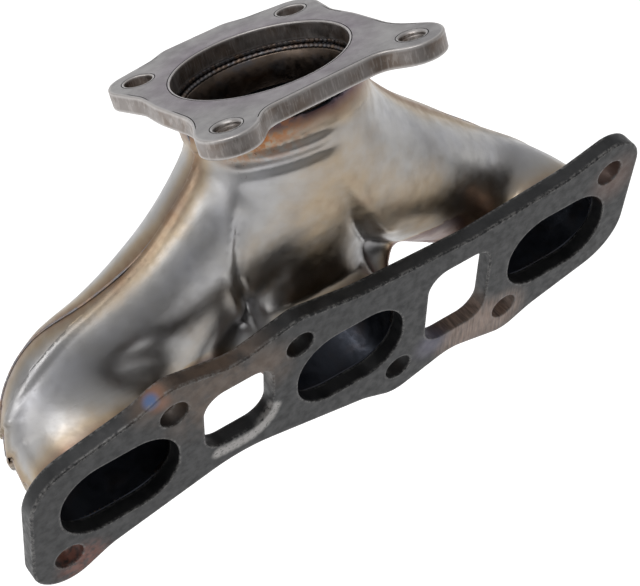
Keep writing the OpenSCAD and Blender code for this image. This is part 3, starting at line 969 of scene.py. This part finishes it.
def build_collar():
    """Liner sleeve with rounded ends, turned about the outlet axis."""
    inner, outer = COLLAR_R - WALL, COLLAR_R
    top, bottom = -NECK_GAP - INNER_BEAD, -COLLAR_LEN
    r = 0.4
    profile = [(outer, bottom + r), (outer, top - r), (outer - r, top), (inner + r, top),
               (inner, top - r), (inner, bottom + r), (inner + r, bottom), (outer - r, bottom)]
    count = 120
    verts = np.concatenate([round_path(radius, height, count) for radius, height in profile])
    faces = []
    for k in range(len(profile)):
        n = (k + 1) % len(profile)
        for j in range(count):
            i = (j + 1) % count
            faces.append((k * count + j, k * count + i, n * count + i, n * count + j))
    add_object("outlet_collar_sleeve", verts, faces, dark_collar(), ["outlet_collar"])


def shell_marks(verts):
    """Where heat, rust and dirt show on the shells, and painted shade along their outer sides."""
    t = parting(verts)[1]
    along = neck_field(verts)[1]
    off = verts[:, 1] - HEAD_T
    heat = 0.80 * np.exp(-(off / 11.0) ** 1.3)
    heat = np.maximum(heat, 0.88 * np.exp(-(np.maximum(-along, 0) / 11.0) ** 1.3))
    # Heat tint along the side seams, and also painted shade: the band darkens the outer sides of
    # runners 1 and 3.
    edge = np.minimum(runner_edge_distance(verts, 0, -1), runner_edge_distance(verts, 2, 1))
    heat = np.maximum(heat, 0.50 * np.exp(-(edge / 9.0) ** 1.8))
    left, right = (rim_distance(verts, t, rim) for rim in (LEFT_RIM, RIGHT_RIM))
    heat = np.maximum(heat, 0.66 * np.exp(-(np.maximum(np.minimum(left, right), 0) / 4.5) ** 1.3))
    front = smooth(off_slope(verts), 5, 20)
    rust = front * smooth(along, -20, -5) * np.exp(-((verts[:, 0] + 24) / 13) ** 2)
    dirt = front * smooth(along, -34, -8) * np.exp(-((verts[:, 0] + 26) / 16) ** 2)
    return {"heat_tint_and_shade": np.clip(heat, 0, 1), "rust": rust, "dirt": dirt}


def runner_edge_distance(p, i, side):
    path = runner_edge(i, side, 0.0, 0.97)
    best = np.full(len(p), 1e9)
    for q in path[::3]:
        best = np.minimum(best, ((p - q) ** 2).sum(1))
    return np.sqrt(best)


def build_shells():
    inner = burnt_inside()
    step = 1.2
    points, quads = surface_net(shell_field, (-138, 0, -26), (136, 92, 114), step)
    points = settle(shell_field, points)
    tris = triangles(quads)
    points, tris = keep_above(points, tris, points[:, 1] - HEAD_T)
    points, tris = keep_above(points, tris, -((points - NECK_END) @ AXIS))
    # The lower shell gets a darker copy of the steel (tone 0.92): painted shade on the underside.
    for name, way, tone in (("upper", 1, 1.0), ("lower", -1, 0.92)):
        v, f = keep_above(points, tris, way * parting(points)[0])
        marks = shell_marks(v)
        if way > 0:
            # The upper shell laps over the lower one along the seam.
            lap = LAP * (1 - smooth(parting(v)[0], 1.5, 4.0))
            inside = smooth(v[:, 1], HEAD_T, HEAD_T + 6) * smooth(-neck_field(v)[1], 3, 10)
            v = v + (lap * inside)[:, None] * unit(gradient(shell_field, v))
        skin = add_object(name + "_shell_skin", v, f, shell_steel("shell_" + name, tone),
                          [name + "_shell"], None, marks)
        skin.data.materials.append(inner)
        thick = skin.modifiers.new("thickness", "SOLIDIFY")
        thick.thickness = WALL * MM
        thick.offset = -1
        thick.material_offset = 1
        thick.material_offset_rim = 1


# ---- Camera, light and floor ----

def add_camera():
    data = bpy.data.cameras.new("camera")
    cam = bpy.data.objects.new("camera", data)
    bpy.context.scene.collection.objects.link(cam)
    azimuth, elevation, roll = math.radians(-37.0), math.radians(50.86), math.radians(1.707)
    back = Vector((math.sin(azimuth) * math.cos(elevation),
                   -math.cos(azimuth) * math.cos(elevation), math.sin(elevation)))
    cam.location = Vector((-250.7, -311.5, 529.1)) * MM
    turn = (-back).to_track_quat("-Z", "Y").to_matrix() @ Matrix.Rotation(roll, 3, "Z")
    cam.rotation_mode = "QUATERNION"
    cam.rotation_quaternion = turn.to_quaternion()
    data.sensor_fit = "HORIZONTAL"
    data.sensor_width = 36
    data.lens = 36 * 1728.8 / 640
    data.clip_start = 0.01
    bpy.context.scene.camera = cam


def add_area(name, place, aim, size_x, size_y, watts):
    data = bpy.data.lights.new(name, "AREA")
    data.shape = "RECTANGLE"
    data.size, data.size_y = size_x, size_y
    data.energy = watts
    obj = bpy.data.objects.new(name, data)
    bpy.context.scene.collection.objects.link(obj)
    obj.location = place
    obj.rotation_mode = "QUATERNION"
    obj.rotation_quaternion = (Vector(aim) - Vector(place)).to_track_quat("-Z", "Y")


def add_floor():
    size, z = 6.0, cad_low.z - 0.25
    mesh = bpy.data.meshes.new("floor")
    mesh.from_pydata([(-size, -size, z), (size, -size, z), (size, size, z), (-size, size, z)], [],
                     [(0, 1, 2, 3)])
    obj = bpy.data.objects.new("floor", mesh)
    mesh.materials.append(pale_floor())
    bpy.context.scene.collection.objects.link(obj)


def add_world():
    """Soft ceiling, bright behind the object and dim in front, for the metal to reflect."""
    world = bpy.data.worlds.new("studio")
    bpy.context.scene.world = world
    world.use_nodes = True
    tree = world.node_tree
    coord = tree.nodes.new("ShaderNodeTexCoord")
    split = tree.nodes.new("ShaderNodeSeparateXYZ")

    def math_node(op, a, b):
        node = tree.nodes.new("ShaderNodeMath")
        node.operation = op
        for socket, value in zip(node.inputs, (a, b)):
            if isinstance(value, float):
                socket.default_value = value
            else:
                tree.links.new(value, socket)
        return node.outputs[0]

    tree.links.new(coord.outputs["Generated"], split.inputs[0])
    low = math_node("SUBTRACT", 1.0, split.outputs["Z"])
    back = math_node("MULTIPLY", math_node("MULTIPLY", split.outputs["Y"], low), 0.34)
    level = math_node("ADD", math_node("MULTIPLY", split.outputs["Z"], 0.08), 0.48)
    level = math_node("MAXIMUM", math_node("ADD", level, back), 0.05)
    tree.links.new(level, tree.nodes["Background"].inputs["Color"])
    tree.nodes["Background"].inputs["Strength"].default_value = 1.0


# The thin seam beads are brighter than the rest.
WELD = weld_metal("weld_bead", 1.0)
SEAM = weld_metal("weld_seam", 1.9)
build_shells()
build_head_flange()
build_outlet_flange()
build_collar()
build_beads()
add_camera()
add_floor()
add_world()
bpy.context.scene.view_settings.view_transform = "Standard"
add_area("top", (-0.25, 0.25, 1.1), (0, 0.05, 0.05), 0.6, 0.6, 4)
add_area("left", (-1.0, 0.1, 0.6), (0, 0.05, 0.05), 0.3, 0.8, 2)
